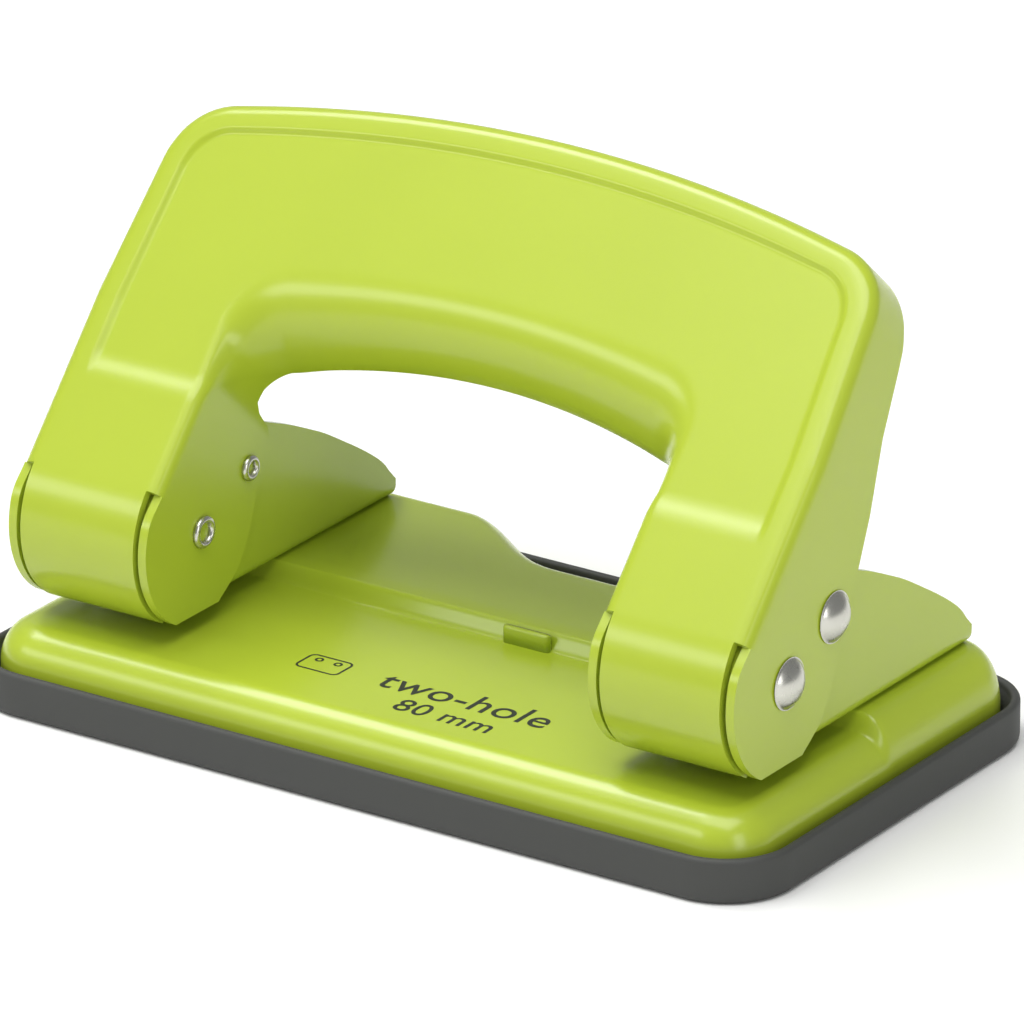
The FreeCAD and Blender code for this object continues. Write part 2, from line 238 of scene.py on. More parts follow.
# stove enamel over pressed steel: an even lime coat with a soft sheen; the very slight
# orange peel of sprayed enamel, about 1.2 mm across, breaks up long reflections, and a faint
# cloud of a deeper tone, about 30 mm across, keeps it from looking flat
def stoveEnamel():
    look = {"colour": "#abbd33", "deep": "#a3b52f", "rough": 0.27, "peelMm": 1.2,
            "cloudMm": 30.0, "coat": 0.2, "coatRough": 0.16}
    material, tree = newMaterial("stoveEnamelLime")
    coords = addNode(tree, "ShaderNodeTexCoord")
    peel = addNode(tree, "ShaderNodeTexNoise", {"Scale": 1000.0 / look["peelMm"], "Detail": 2.0},
                   {"Vector": coords.outputs["Object"]})
    cloud = addNode(tree, "ShaderNodeTexNoise", {"Scale": 1000.0 / look["cloudMm"], "Detail": 3.0},
                    {"Vector": coords.outputs["Object"]})
    colour = addNode(tree, "ShaderNodeMix", {"data_type": "RGBA"}, {"Factor": cloud.outputs["Fac"]})
    for index, text in ((6, look["colour"]), (7, look["deep"])):
        colour.inputs[index].default_value = linearColour(text)
    bump = addNode(tree, "ShaderNodeBump", {"Strength": 0.05, "Distance": 0.00004},
                   {"Height": peel.outputs["Fac"]})
    shader = addNode(tree, "ShaderNodeBsdfPrincipled",
                     {"Roughness": look["rough"], "Metallic": 0.0, "IOR": 1.5,
                      "Coat Weight": look["coat"], "Coat Roughness": look["coatRough"]},
                     {"Base Color": colour.outputs[2], "Normal": bump.outputs["Normal"]})
    addNode(tree, "ShaderNodeOutputMaterial", None, {"Surface": shader.outputs["BSDF"]})
    return material


# moulded soft PVC: dark grey, dull, with a fine moulded grain of about 0.4 mm
def mouldedPlastic():
    look = {"colour": "#3c3d3b", "rough": 0.62, "grainMm": 0.4}
    material, tree = newMaterial("mouldedSoftPvc")
    coords = addNode(tree, "ShaderNodeTexCoord")
    grain = addNode(tree, "ShaderNodeTexNoise", {"Scale": 1000.0 / look["grainMm"], "Detail": 2.0},
                    {"Vector": coords.outputs["Object"]})
    bump = addNode(tree, "ShaderNodeBump", {"Strength": 0.25, "Distance": 0.00005},
                   {"Height": grain.outputs["Fac"]})
    shader = addNode(tree, "ShaderNodeBsdfPrincipled",
                     {"Base Color": linearColour(look["colour"]), "Roughness": look["rough"], "IOR": 1.5},
                     {"Normal": bump.outputs["Normal"]})
    addNode(tree, "ShaderNodeOutputMaterial", None, {"Surface": shader.outputs["BSDF"]})
    return material


# bare metals: nickel-plated rivets, ground tool steel, turned brass, drawn spring wire; the
# gloss varies a little over about 2 mm, and over 0.8 mm on the thin wire, as on parts that were
# finished in a barrel
def bareMetal(name, colour, rough, toneMm=2.0):
    material, tree = newMaterial(name)
    coords = addNode(tree, "ShaderNodeTexCoord")
    tone = addNode(tree, "ShaderNodeTexNoise", {"Scale": 1000.0 / toneMm, "Detail": 3.0},
                   {"Vector": coords.outputs["Object"]})
    spread = addNode(tree, "ShaderNodeMapRange",
                     {"To Min": rough - 0.05, "To Max": rough + 0.07}, {"Value": tone.outputs["Fac"]})
    shader = addNode(tree, "ShaderNodeBsdfPrincipled",
                     {"Base Color": linearColour(colour), "Metallic": 1.0},
                     {"Roughness": spread.outputs["Result"]})
    addNode(tree, "ShaderNodeOutputMaterial", None, {"Surface": shader.outputs["BSDF"]})
    return material


# pad-printed ink: flat near-black with a slight sheen
def printInk():
    material, tree = newMaterial("padPrintInk")
    shader = addNode(tree, "ShaderNodeBsdfPrincipled",
                     {"Base Color": linearColour("#23291a"), "Roughness": 0.5, "IOR": 1.45})
    addNode(tree, "ShaderNodeOutputMaterial", None, {"Surface": shader.outputs["BSDF"]})
    return material


finishes = {
    "green_paint": stoveEnamel(),
    "tray_plastic": mouldedPlastic(),
    "rivet_steel": bareMetal("nickelPlatedRivet", "#c9c8c0", 0.26),
    "tool_steel": bareMetal("groundToolSteel", "#9c9da0", 0.3),
    "guide_brass": bareMetal("turnedBrass", "#c7a55a", 0.3),
    "spring_steel": bareMetal("drawnSpringWire", "#8c8d8f", 0.32, 0.8),
}
ink = printInk()
print("materials", [m.name for m in finishes.values()])


# gives a piece the finish of a slot, hangs it under its body, and hides the imported nodes that it stands
# in for
def dress(piece, slotName, body, *nodes):
    piece.data.materials.clear()
    piece.data.materials.append(finishes[slotName])
    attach(piece, body)
    if nodes:
        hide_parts(*nodes)
    return piece


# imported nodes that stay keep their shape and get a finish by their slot
for entry in frame["record"]["subparts"]:
    node = frame["nodes"][entry["node"]]
    node.data.materials.clear()
    node.data.materials.append(finishes[entry["material_slot"]])

# The lever is one sheet. Its face lies in a leaning plane with x along the punch, v up the
# face and w into it; three paths (outer edge, inner fold, inner flange) run from foot to foot.
leverSize = {
    "thickness": 1.1,
    "edge": 0.22,
    "bend": 11.4,           # outside of the curl round the pivot
    "outerFoot": 49.7,
    "outerTop": 48.5,
    "straight": 22.0,       # the leg starts to lean in here, over taperLength
    "taperLength": 20.0,
    "top": 52.5,
    "topArc": 190.0,
    "topCorner": 8.5,
    "outerBend": 1.8,
    "foldFoot": 32.0,
    "foldTop": 32.0,
    "foldArc": 150.0,
    "foldCorner": 7.6,
    "flangeFoot": 30.3,
    "flangeTop": 24.4,
    "flangeArc": 88.0,
    "flangeCorner": 7.0,
    "panelInset": 3.3,
    "panelStep": 1.0,
    "panelDepth": 0.45,
    "panelStart": 11.6,
    "panelRamp": 3.6,
    "legRows": 13.0,
    "plateRadius": 11.2,
    "plateBottom": -9.8,
    "plateNub": 0.75,       # the plate's top corner is set back this far into the bend
    "plateNubAngle": 24.0,
    "plateRearRadius": 9.85,
    "plateRearFirst": 6.6,
    "plateRearLast": -72.0,
    "plateFlat": 3.2,
    "tongueLast": 240.0,
}
upFace = np.array([0.0, math.cos(place["lean"]), math.sin(place["lean"])])
intoFace = np.array([0.0, math.sin(place["lean"]), -math.cos(place["lean"])])
pivot = np.array([0.0, place["pivotY"], place["pivotZ"]])
faceStart = pivot - intoFace * leverSize["bend"]


# face coordinates to the punch's own: start + x along + v up + w into the face
def fromFace(x, v, w):
    x, v, w = np.broadcast_arrays(x, v, w)
    shifted = faceStart + v[..., None] * upFace + w[..., None] * intoFace
    shifted[..., 0] += x
    return shifted


# right half of an arched path: straight up the leg, a round corner, then a flat crown
# v = top - x2 / (2 arc); above 'straight' the leg leans in by 'taper' over taperLength
def archedPath(foot, top, arc, corner, taper):
    legSteps, cornerSteps = 120, 60
    centreX = foot - taper - corner
    slope = centreX / arc
    centreV = top - centreX ** 2 / (2 * arc) - corner * math.sqrt(1 + slope ** 2)
    leg = np.stack([np.full(legSteps, foot - taper), np.linspace(0.0, centreV, legSteps)], -1)
    cornerLast = 90.0 - math.degrees(math.atan(slope))
    bend = arcPoints((centreX, centreV), corner, 0.0, cornerLast, cornerSteps)
    crownX = np.linspace(bend[-1, 0], 0.0, legSteps)
    crown = np.stack([crownX, top - crownX ** 2 / (2 * arc)], -1)
    path = np.concatenate([leg, bend[1:], crown[1:]])
    climbed = (path[:, 1] - leverSize["straight"]) / leverSize["taperLength"]
    path[:, 0] += taper * np.clip(1.0 - climbed, 0.0, 1.0)
    return path, legSteps + cornerSteps - 2


# rows match on all paths: level rows up the leg, then equal shares to the corner's end,
# then equal shares to the middle of the crown
def matchedRows(path, cornerEnd, counts):
    height = leverSize["legRows"]
    legV = np.linspace(0.0, height, counts[0])
    legX = np.interp(legV, path[:cornerEnd, 1], path[:cornerEnd, 0])
    above = np.nonzero(path[:, 1] > height)[0][0]
    start = np.array([[legX[-1], height]])
    rounded = np.concatenate([start, path[above:cornerEnd + 1]])
    crown = path[cornerEnd:]
    rows = [np.stack([legX, legV], -1), alongLine(rounded, np.linspace(0, 1, counts[1])[1:]),
            alongLine(crown, np.linspace(0, 1, counts[2])[1:])]
    return np.concatenate(rows)


# outer edge, inner fold and inner flange from foot to foot: a right half and its mirror, so
# that x turns to -x and the middle row is kept once
def leverPaths():
    size = leverSize
    counts = (40, 90, 46)   # rows on the leg, round the corner, along the half crown
    taper = size["outerFoot"] - size["outerTop"]
    halves = [
        archedPath(size["outerFoot"], size["top"], size["topArc"], size["topCorner"], taper),
        archedPath(size["foldFoot"], size["foldTop"], size["foldArc"], size["foldCorner"], 0.0),
        archedPath(size["flangeFoot"], size["flangeTop"], size["flangeArc"], size["flangeCorner"], 0.0),
    ]
    half = [matchedRows(path, cornerEnd, counts) for path, cornerEnd in halves]
    mirrored = [path[:-1][::-1] * np.array([-1.0, 1.0]) for path in half]
    return [np.concatenate(pair) for pair in zip(half, mirrored)]


# how deep the flanges reach behind the face, by height up the face
outerDepth = np.array([[0.0, 21.25], [3.0, 20.8], [14.6, 17.0], [16.1, 16.4], [22.6, 14.1],
                       [30.2, 11.4], [38.0, 9.8], [41.5, 8.9], [46.0, 8.2], [60.0, 8.0]])
innerDepth = np.array([[0.0, 21.25], [3.0, 20.8], [12.5, 17.3], [14.6, 16.2], [15.2, 15.0],
                       [15.7, 12.2], [16.5, 10.6], [18.0, 9.7], [21.0, 9.0], [24.4, 8.6]])


# the lever's sheet above its feet: each column is a path with its depth w behind the face,
# from the outer flange's rear edge, over the bend, face and roll, to the inner flange's
def leverFace():
    size = leverSize
    outer, fold, flange = leverPaths()
    rows = len(outer)
    inward = fold - outer
    inward /= np.linalg.norm(inward, axis=1)[:, None]
    tangent = np.gradient(outer, axis=0)
    tangent /= np.linalg.norm(tangent, axis=1)[:, None]
    normal = np.stack([-tangent[:, 1], tangent[:, 0]], -1)
    normal *= np.sign((normal * inward).sum(1))[:, None]
    outerFold = outer + normal * size["outerBend"]
    outerFold[:, 1] = np.where(outer[:, 1] < size["legRows"], outer[:, 1], outerFold[:, 1])
    columns = []
    # outer flange, from its rear edge up to the bend
    depth = np.interp(outer[:, 1], outerDepth[:, 0], outerDepth[:, 1])
    for share in np.linspace(0.0, 1.0, 10)[:-1]:
        columns.append((outer, depth + (size["outerBend"] - depth) * share))
    # outer bend: quarter round from the flange to the face
    for angle in np.radians(np.linspace(0.0, 90.0, 9)[:-1]):
        across = outer + (outerFold - outer) * (1.0 - math.cos(angle))
        columns.append((across, np.full(rows, size["outerBend"] * (1.0 - math.sin(angle)))))
    # face: fixed distances near the outer edge, then shares to the inner fold
    width = np.linalg.norm(fold - outerFold, axis=1)
    near = np.array([0.0, 0.7, 1.3, 1.5, 1.7, 1.9, 2.1, 2.3, 2.5, 2.7, 3.0, 3.5])
    far = np.linspace(0.0, 1.0, 26)[1:]
    faceFirst = len(columns)
    for distance in near:
        columns.append((outerFold + (fold - outerFold) * (distance / width)[:, None], np.zeros(rows)))
    for share in far:
        reach = near[-1] + (width - near[-1]) * share
        columns.append((outerFold + (fold - outerFold) * (reach / width)[:, None], np.zeros(rows)))
    faceLast = len(columns) - 1
    # inner roll: quarter ellipse from the fold down to the inner flange
    roll = np.linalg.norm(fold - flange, axis=1)
    for angle in np.radians(np.linspace(0.0, 90.0, 15)[1:]):
        across = flange + (fold - flange) * (1.0 - math.sin(angle))
        columns.append((across, roll * (1.0 - math.cos(angle))))
    # inner flange, down to its rear edge
    depth = np.maximum(np.interp(flange[:, 1], innerDepth[:, 0], innerDepth[:, 1]), roll + 0.3)
    for share in np.linspace(0.0, 1.0, 14)[1:]:
        columns.append((flange, roll + (depth - roll) * share))
    grid = np.stack([np.concatenate([p, w[:, None]], -1) for p, w in columns], 1)
    x, v, w = grid[..., 0], grid[..., 1], grid[..., 2]
    # the middle of the face is pressed in a little; the step follows the outer edge and ends
    # in a wider ramp above each foot, and the roll counts as far from that edge
    edgeDistance = np.linalg.norm(grid[..., :2] - outer[:, None, :], axis=-1)
    edgeDistance[:, faceLast:] = 99.0
    pressed = smoothRise(edgeDistance, size["panelInset"], size["panelStep"])
    pressed = pressed * smoothRise(v, size["panelStart"], size["panelRamp"])
    pressed[:, :faceFirst] = 0.0
    w = w + size["panelDepth"] * pressed
    return fromFace(x, v, w), faceFirst, faceLast


# below the face each leg has a tongue on a circle round the pivot and two flat plates; a
# plate's rows run from its round front edge to its rear edge
def leverFeet(face, faceFirst, faceLast):
    size = leverSize
    tongueRows, plateRows = 44, 40
    outerColumns, innerColumns = 10, 14
    patches = []
    leanDegrees = math.degrees(place["lean"])
    bottomAngle = math.degrees(math.asin(-size["plateBottom"] / size["plateRadius"]))
    for end in (0, -1):
        row = face[end]
        tongueRow = row[faceFirst:faceLast + 1]
        angle = np.radians(np.linspace(90.0 + leanDegrees, size["tongueLast"], tongueRows))
        tongue = np.zeros((tongueRows, len(tongueRow), 3))
        tongue[..., 0] = tongueRow[:, 0]
        tongue[..., 1] = place["pivotY"] + (size["bend"] * np.cos(angle))[:, None]
        tongue[..., 2] = place["pivotZ"] + (size["bend"] * np.sin(angle))[:, None]
        patches.append(tongue)
        frontAngle = np.radians(np.linspace(90.0 + leanDegrees, 180.0 + bottomAngle, plateRows))
        frontRadius = size["plateRadius"] - size["plateNub"] * (
            1.0 - smoothRise(frontAngle, frontAngle[0], math.radians(size["plateNubAngle"])))
        front = np.stack([frontRadius * np.cos(frontAngle), frontRadius * np.sin(frontAngle)], -1)
        rearFirst = size["plateRearFirst"] - leanDegrees
        rear = arcPoints((0.0, 0.0), size["plateRearRadius"], rearFirst, size["plateRearLast"], plateRows)
        ease = np.linspace(0.0, 1.0, plateRows) ** 2
        bottom = np.array([size["plateFlat"], size["plateBottom"]])
        rear = rear * (1 - ease[:, None]) + bottom * ease[:, None]
        for edge in (row[:outerColumns], row[-innerColumns:][::-1]):
            local = edge[:, 1:] - pivot[1:]
            along = local @ intoFace[1:]
            extra = np.linspace(-frontRadius[0], along.min(), 5)[:-1]
            stations = np.concatenate([extra, np.sort(along)])
            share = (stations - stations[0]) / (stations[-1] - stations[0])
            rear[0] = stations[-1] * intoFace[1:]
            front[0] = stations[0] * intoFace[1:]
            plate = np.zeros((plateRows, len(share), 3))
            plate[..., 0] = edge[0, 0]
            flat = front[:, None, :] + (rear - front)[:, None, :] * share[None, :, None]
            plate[..., 1:] = flat + pivot[1:]
            patches.append(plate)
    return patches


# the whole lever: face and feet welded, its face turned to look out from the pivot
def buildLever():
    face, faceFirst, faceLast = leverFace()
    points, faces = weldPatches([face] + leverFeet(face, faceFirst, faceLast))
    hint = face[len(face) // 2, (faceFirst + faceLast) // 2]
    lever = makePiece("leverSheet", points, faces, hint, -intoFace)
    sheetMetal(lever, leverSize["thickness"], leverSize["edge"])
    return dress(lever, "green_paint", "lever", "lever")


buildLever()
print("lever built")

traySize = {"length": 110.0, "depth": 64.0, "corner": 9.0, "wall": 2.0, "floor": 1.4,
            "footRound": 1.0, "lipRound": 0.6, "lipHeight": 4.9}
baseSize = {"inset": 2.3, "corner": 6.7, "shoulder": 4.2, "shoulderFoot": 4.4, "skirtBottom": 1.5,
            "skirtMiddle": 3.0,
            "thickness": 1.2, "edge": 0.2, "stepWidth": 1.7, "notchTop": 22.0, "notchBottom": 4.0,
            "notchDepth": 9.0, "notchEase": 1.5, "dieHole": 4.52,
            "frontPoints": 60, "cornerPoints": 15, "sidePoints": 9, "stepPoints": 13}


# closed rounded rectangle as points in order, inset inwards from the given size
def roundedRectangle(length, depth, corner, inset, cornerCount=17):
    halfX, halfY, radius = length / 2 - inset, depth / 2 - inset, corner - inset
    parts = []
    for signX, signY, first in ((1, -1, -90), (1, 1, 0), (-1, 1, 90), (-1, -1, 180)):
        centre = (signX * (halfX - radius), signY * (halfY - radius))
        parts.append(arcPoints(centre, radius, first, first + 90, cornerCount))
    return np.concatenate(parts)


# wall profile of (inset, height) carried round the rounded rectangle, with a flat bottom and
# a flat floor inside
def buildTray():
    size = traySize
    foot, lip = size["footRound"], size["lipRound"]
    profile = []
    for angle in np.radians(np.linspace(-90, 0, 6)):
        profile.append((foot - foot * math.cos(angle), foot + foot * math.sin(angle)))
    profile += [(0.0, 3.0), (0.0, 4.2), (0.0, size["lipHeight"])]
    for angle in np.radians(np.linspace(0, 180, 9)):
        profile.append((lip - lip * math.cos(angle), size["lipHeight"] + lip * math.sin(angle)))
    profile += [(1.3, 4.6), (size["wall"], 3.8), (size["wall"], size["floor"] + lip)]
    for angle in np.radians(np.linspace(180, 270, 5)):
        profile.append((size["wall"] + lip + lip * math.cos(angle),
                        size["floor"] + lip + lip * math.sin(angle)))
    plan = [roundedRectangle(size["length"], size["depth"], size["corner"], inset) for inset, _ in profile]
    grid = np.stack([liftedRing(ring, height) for ring, (_, height) in zip(plan, profile)])
    points, faces = weldPatches([grid])
    caps = [list(dict.fromkeys(nearestPoints(points, grid[row, :-1]).tolist())) for row in (0, -1)]
    tray = makePiece("trayMoulding", points, faces + caps)
    tray.data.set_sharp_from_angle(angle=math.radians(50))
    return dress(tray, "tray_plastic", "tray", "chip_tray")


buildTray()
print("tray built")


# plan of the base skirt, in order round it, with the notch in its back edge; side points
# are placed so that the step in the deck gets its own rows
def basePlan(inset):
    size = baseSize
    halfX = traySize["length"] / 2 - size["inset"] - inset
    halfY = traySize["depth"] / 2 - size["inset"] - inset
    radius = size["corner"] - inset
    cornerX, cornerY = halfX - radius, halfY - radius
    stepRows = place["stopY"] + size["stepWidth"] * (np.linspace(0.0, 1.0, size["stepPoints"]) - 0.5)
    sideY = np.concatenate([np.linspace(-halfY + radius, stepRows[0], size["sidePoints"])[1:-1], stepRows,
                            np.linspace(stepRows[-1], halfY - radius, size["sidePoints"])[1:-1]])
    frontLeft, frontRight, backRight, backLeft = [
        arcPoints((signX * cornerX, signY * cornerY), radius, first, first + 90, size["cornerPoints"])
        for signX, signY, first in ((-1, -1, 180), (1, -1, 270), (1, 1, 0), (-1, 1, 90))]
    frontX = np.linspace(-halfX + radius, halfX - radius, size["frontPoints"])[1:-1]
    # the notch's two slopes get close points, the straight stretches few
    wide, narrow = size["notchTop"] + size["notchEase"], size["notchBottom"] - size["notchEase"]
    backX = np.concatenate([np.linspace(cornerX, wide, 14)[1:], np.linspace(wide, narrow, 40)[1:],
                            np.linspace(narrow, -narrow, 14)[1:], np.linspace(-narrow, -wide, 40)[1:],
                            np.linspace(-wide, -cornerX, 14)[1:-1]])
    # the inset moves the notched edge along its own normal
    edge = notchEdge(backX)
    slope = np.gradient(edge, backX)
    length = np.sqrt(1 + slope ** 2)
    backXY = np.stack([backX + inset * slope / length, edge - inset / length], -1)
    side = np.stack([np.full(len(sideY), halfX), sideY], -1)
    other = side[::-1] * np.array([-1.0, 1.0])
    front = np.stack([frontX, np.full(len(frontX), -halfY)], -1)
    return np.concatenate([front, frontRight, side, backRight, backXY, backLeft, other, frontLeft])


# back edge of the base: a smooth fall of notchDepth between the notch's two half widths
def notchEdge(x):
    size = baseSize
    halfY = traySize["depth"] / 2 - size["inset"]
    fall = smoothRise(-np.abs(x), -size["notchTop"], size["notchTop"] - size["notchBottom"])
    return halfY - size["notchDepth"] * fall


# height of the deck from front to back: a smooth step up at the paper stop
def deckHeight(y):
    size = baseSize
    rise = smoothRise(y, place["stopY"] - size["stepWidth"] / 2, size["stepWidth"])
    return place["deckLow"] + (place["deckHigh"] - place["deckLow"]) * rise


# skirt, a shoulder that is a quarter ellipse (its inset grows as it climbs to the deck's own
# height), then a flat front deck, a flat back deck and the rows of the step between them
def buildBase():
    size = baseSize
    outerRing = basePlan(0.0)
    rings = [liftedRing(outerRing, size[level]) for level in ("skirtBottom", "skirtMiddle", "shoulderFoot")]
    climb = deckHeight(outerRing[:, 1]) - size["shoulderFoot"]
    for angle in np.radians(np.linspace(0, 90, 15)):
        ring = basePlan(size["shoulder"] * (1 - math.cos(angle)))
        rings.append(liftedRing(ring, size["shoulderFoot"] + climb * math.sin(angle)))
    points, faces = weldPatches([np.stack(rings)])
    index = nearestPoints(points, rings[-1][:-1])
    count, sideCount = len(index), 2 * (size["sidePoints"] - 2) + size["stepPoints"]
    right = np.arange(sideCount) + size["frontPoints"] - 2 + size["cornerPoints"]
    left = count - size["cornerPoints"] - 1 - np.arange(sideCount)
    firstStep = size["sidePoints"] - 2
    lastStep = firstStep + size["stepPoints"] - 1
    front = list(range(left[firstStep], count)) + list(range(0, right[firstStep] + 1))
    back = list(range(right[lastStep], left[lastStep] + 1))
    faces = faces + [index[front].tolist(), index[back].tolist()]
    for k in range(firstStep, lastStep):
        faces.append(index[[right[k], right[k + 1], left[k + 1], left[k]]].tolist())
    base = makePiece("baseSheet", points, faces, (0.0, -20.0, place["deckLow"]), (0, 0, 1))
    dies = [(x, place["punchY"], place["deckLow"], size["dieHole"]) for x in sides.values()]
    sheetMetal(base, size["thickness"], size["edge"], dies)
    return dress(base, "green_paint", "base", "base_shell")


# small tab punched up in the step, where the middle of the sheet is lined up: a rounded
# rectangle carried up, drawn in over its top edge
def buildStopTab():
    size = {"first": 0.5, "last": 7.0, "back": 1.1, "rise": 0.02, "round": 0.3, "corner": 0.6}
    middle = np.array([(size["first"] + size["last"]) / 2, place["stopY"] - size["back"] / 2])
    length = size["last"] - size["first"]
    top = place["deckHigh"] + size["rise"]
    levels = ((0.0, place["deckLow"]), (0.0, top - size["round"]), (0.1, top - 0.1), (size["round"], top))
    grid = np.stack([liftedRing(roundedRectangle(length, size["back"], size["corner"], inset, 6) + middle,
                                height) for inset, height in levels])
    points, faces = weldPatches([grid])
    caps = [nearestPoints(points, grid[row, :-1]).tolist() for row in (-1, 0)]
    tab = makePiece("stopTab", points, faces + caps)
    return dress(tab, "green_paint", "base")


buildBase()
buildStopTab()
print("base built")


bracketSize = {"half": 8.35, "thickness": 1.2, "edge": 0.2, "bend": 1.6, "guideHole": 3.92,
               "start": -2.6, "end": 41.4,
               "frontRadius": 9.9, "frontFirst": 105.0, "frontLast": 238.0}
bracketCrest = np.array([[-9.0, 4.1], [-7.0, 7.0], [-4.0, 9.05], [0.0, 9.9], [4.2, 10.2], [9.0, 10.0],
                         [13.8, 8.8], [20.0, 6.3], [26.5, 3.2], [33.5, -1.0], [37.0, -3.3],
                         [39.4, -5.2], [40.8, -6.9], [41.4, -8.4]])


# a channel: walls whose top follows the crest curve, a bend of quarter circles and a flat
# foot; the front of each wall is drawn forwards to a circle round the pivot
def buildBracket(side, x):
    size = bracketSize
    sections, wallRows, capRows = 90, 12, 10
    half, bend = size["half"], size["bend"]
    floor = place["deckHigh"] - place["pivotZ"]
    rear = np.linspace(size["start"], size["end"], sections)
    crest = np.interp(rear, bracketCrest[:, 0], bracketCrest[:, 1])
    crest = np.convolve(np.pad(crest, 3, "edge"), np.ones(7) / 7.0, "valid")
    across = []
    for share in np.linspace(0, 1, wallRows)[:-1]:
        across.append((-half, crest + (floor + bend - crest) * share))
    for angle in np.radians(np.linspace(180, 270, 9)):
        across.append((-half + bend + bend * math.cos(angle), floor + bend + bend * math.sin(angle)))
    for share in np.linspace(0, 1, 6)[1:-1]:
        across.append(((half - bend) * (2 * share - 1), floor))
    for angle in np.radians(np.linspace(270, 360, 9)):
        across.append((half - bend + bend * math.cos(angle), floor + bend + bend * math.sin(angle)))
    for share in np.linspace(0, 1, wallRows)[1:]:
        across.append((half, floor + bend + (crest - floor - bend) * share))
    grid = np.zeros((sections, len(across), 3))
    grid[..., 0] = x + np.array([a for a, _ in across])
    grid[..., 1] = (place["pivotY"] + rear)[:, None]
    grid[..., 2] = np.stack([np.broadcast_to(place["pivotZ"] + z, sections) for _, z in across], 1)
    patches = [grid]
    angle = np.radians(np.linspace(size["frontFirst"], size["frontLast"], wallRows))
    front = np.stack([size["frontRadius"] * np.cos(angle), size["frontRadius"] * np.sin(angle)], -1)
    share = np.linspace(0, 1, capRows)[:, None]
    for edge, arc in ((grid[0, :wallRows], front), (grid[0, -wallRows:], front[::-1])):
        cap = np.zeros((capRows, wallRows, 3))
        cap[..., 0] = edge[0, 0]
        cap[..., 1] = place["pivotY"] + size["start"] + (arc[:, 0] - size["start"])[None, :] * share
        cap[..., 2] = edge[:, 2][None, :] + (arc[:, 1] + place["pivotZ"] - edge[:, 2])[None, :] * share
        patches.append(cap)
    points, faces = weldPatches(patches)
    bracket = makePiece(side + "BracketSheet", points, faces,
                        (x + half, place["pivotY"] + 20, place["pivotZ"] - 3), (1, 0, 0))
    guide = (x, place["punchY"], place["deckHigh"] + size["thickness"] / 2, size["guideHole"])
    sheetMetal(bracket, size["thickness"], size["edge"], [guide])
    return dress(bracket, "green_paint", "base", side + "_bracket")


for side, x in sides.items():
    buildBracket(side, x)
print("brackets built")


rivetSize = {"head": 3.1, "rise": 1.5, "shank": {"pivot": 2.0, "drive": 1.6}, "gap": 0.05,
             "legHalf": 9.7}


# domed head with a thin rim, a shank, and a flared tube end on the inner side
def buildRivet(side, kind, x, y, z, body):
    size = rivetSize
    outward = math.copysign(1.0, x)
    shank = size["shank"][kind]
    reach = size["legHalf"] + size["gap"]
    ball = (size["head"] ** 2 + size["rise"] ** 2) / (2 * size["rise"])
    polar = np.linspace(0.0, math.asin(size["head"] * 0.97 / ball), 14)
    dome = np.stack([reach + size["rise"] - ball * (1 - np.cos(polar)), ball * np.sin(polar)], -1)
    rim = np.array([[reach + 0.12, size["head"]], [reach, size["head"] - 0.08]])
    stem = np.array([[reach, shank], [-reach + 0.1, shank]])
    end = shank - 0.1
    flare = np.array([[-reach + 0.02, end - 0.1], [-reach - 0.02, end], [-reach - 0.2, end + 0.08],
                      [-reach - 0.42, end], [-reach - 0.6, end - 0.2], [-reach - 0.66, end - 0.42],
                      [-reach - 0.55, end - 0.62], [-reach - 0.2, end - 0.75], [-reach + 0.4, end - 0.8],
                      [-reach + 12.0, end - 0.8], [-reach + 12.3, 0.0]])
    profile = np.concatenate([dome, rim, stem, flare])
    rivet = turned(side + kind.capitalize() + "Rivet", profile, (x, y, z), (outward, 0, 0))
    rivet.data.set_sharp_from_angle(angle=math.radians(60))
    return dress(rivet, "rivet_steel", body, side + "_" + kind + "_rivet")


springSize = {"wire": 0.4, "radius": 4.6, "turns": 6.0, "endTurns": 0.9, "stroke": 4.24,
              "closedTurns": 0.2, "easeTurns": 1.4, "closedPitch": 0.1}


# coil: a circle carried along a helix whose height rises slowly over the end turns and evenly
# between them
def buildSpring(side, x):
    size = springSize
    steps, around = 520, np.linspace(0, 2 * math.pi, 11)
    around[-1] = 0.0
    low, high = boxMm(side + "_spring")
    bottom, top = low[2] + size["wire"], high[2] - size["wire"]
    turn = np.linspace(0.0, size["turns"] + 2 * size["endTurns"], steps)
    opened = [smoothRise(t, size["closedTurns"], size["easeTurns"]) for t in (turn, turn[-1] - turn)]
    pitch = opened[0] * opened[1] + size["closedPitch"]
    rise = np.concatenate([[0.0], np.cumsum((pitch[1:] + pitch[:-1]) / 2)])
    z = bottom + (top - bottom) * rise / rise[-1]
    angle = 2 * math.pi * turn
    centre = np.stack([x + size["radius"] * np.cos(angle),
                       place["punchY"] + size["radius"] * np.sin(angle), z], -1)
    tangent = np.gradient(centre, axis=0)
    tangent /= np.linalg.norm(tangent, axis=1)[:, None]
    outwards = np.stack([np.cos(angle), np.sin(angle), np.zeros_like(angle)], -1)
    up = np.cross(tangent, outwards)
    circle = (np.cos(around)[None, :, None] * outwards[:, None]
              + np.sin(around)[None, :, None] * up[:, None])
    grid = centre[:, None] + size["wire"] * circle
    ends = [np.repeat(centre[i][None, None], len(around), 1) for i in (0, -1)]
    grid = np.concatenate([ends[0], grid, ends[1]])
    points, faces = weldPatches([grid])
    spring = makePiece(side + "SpringCoil", points, faces)
    dress(spring, "spring_steel", "base", side + "_spring")
    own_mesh(spring)
    return spring


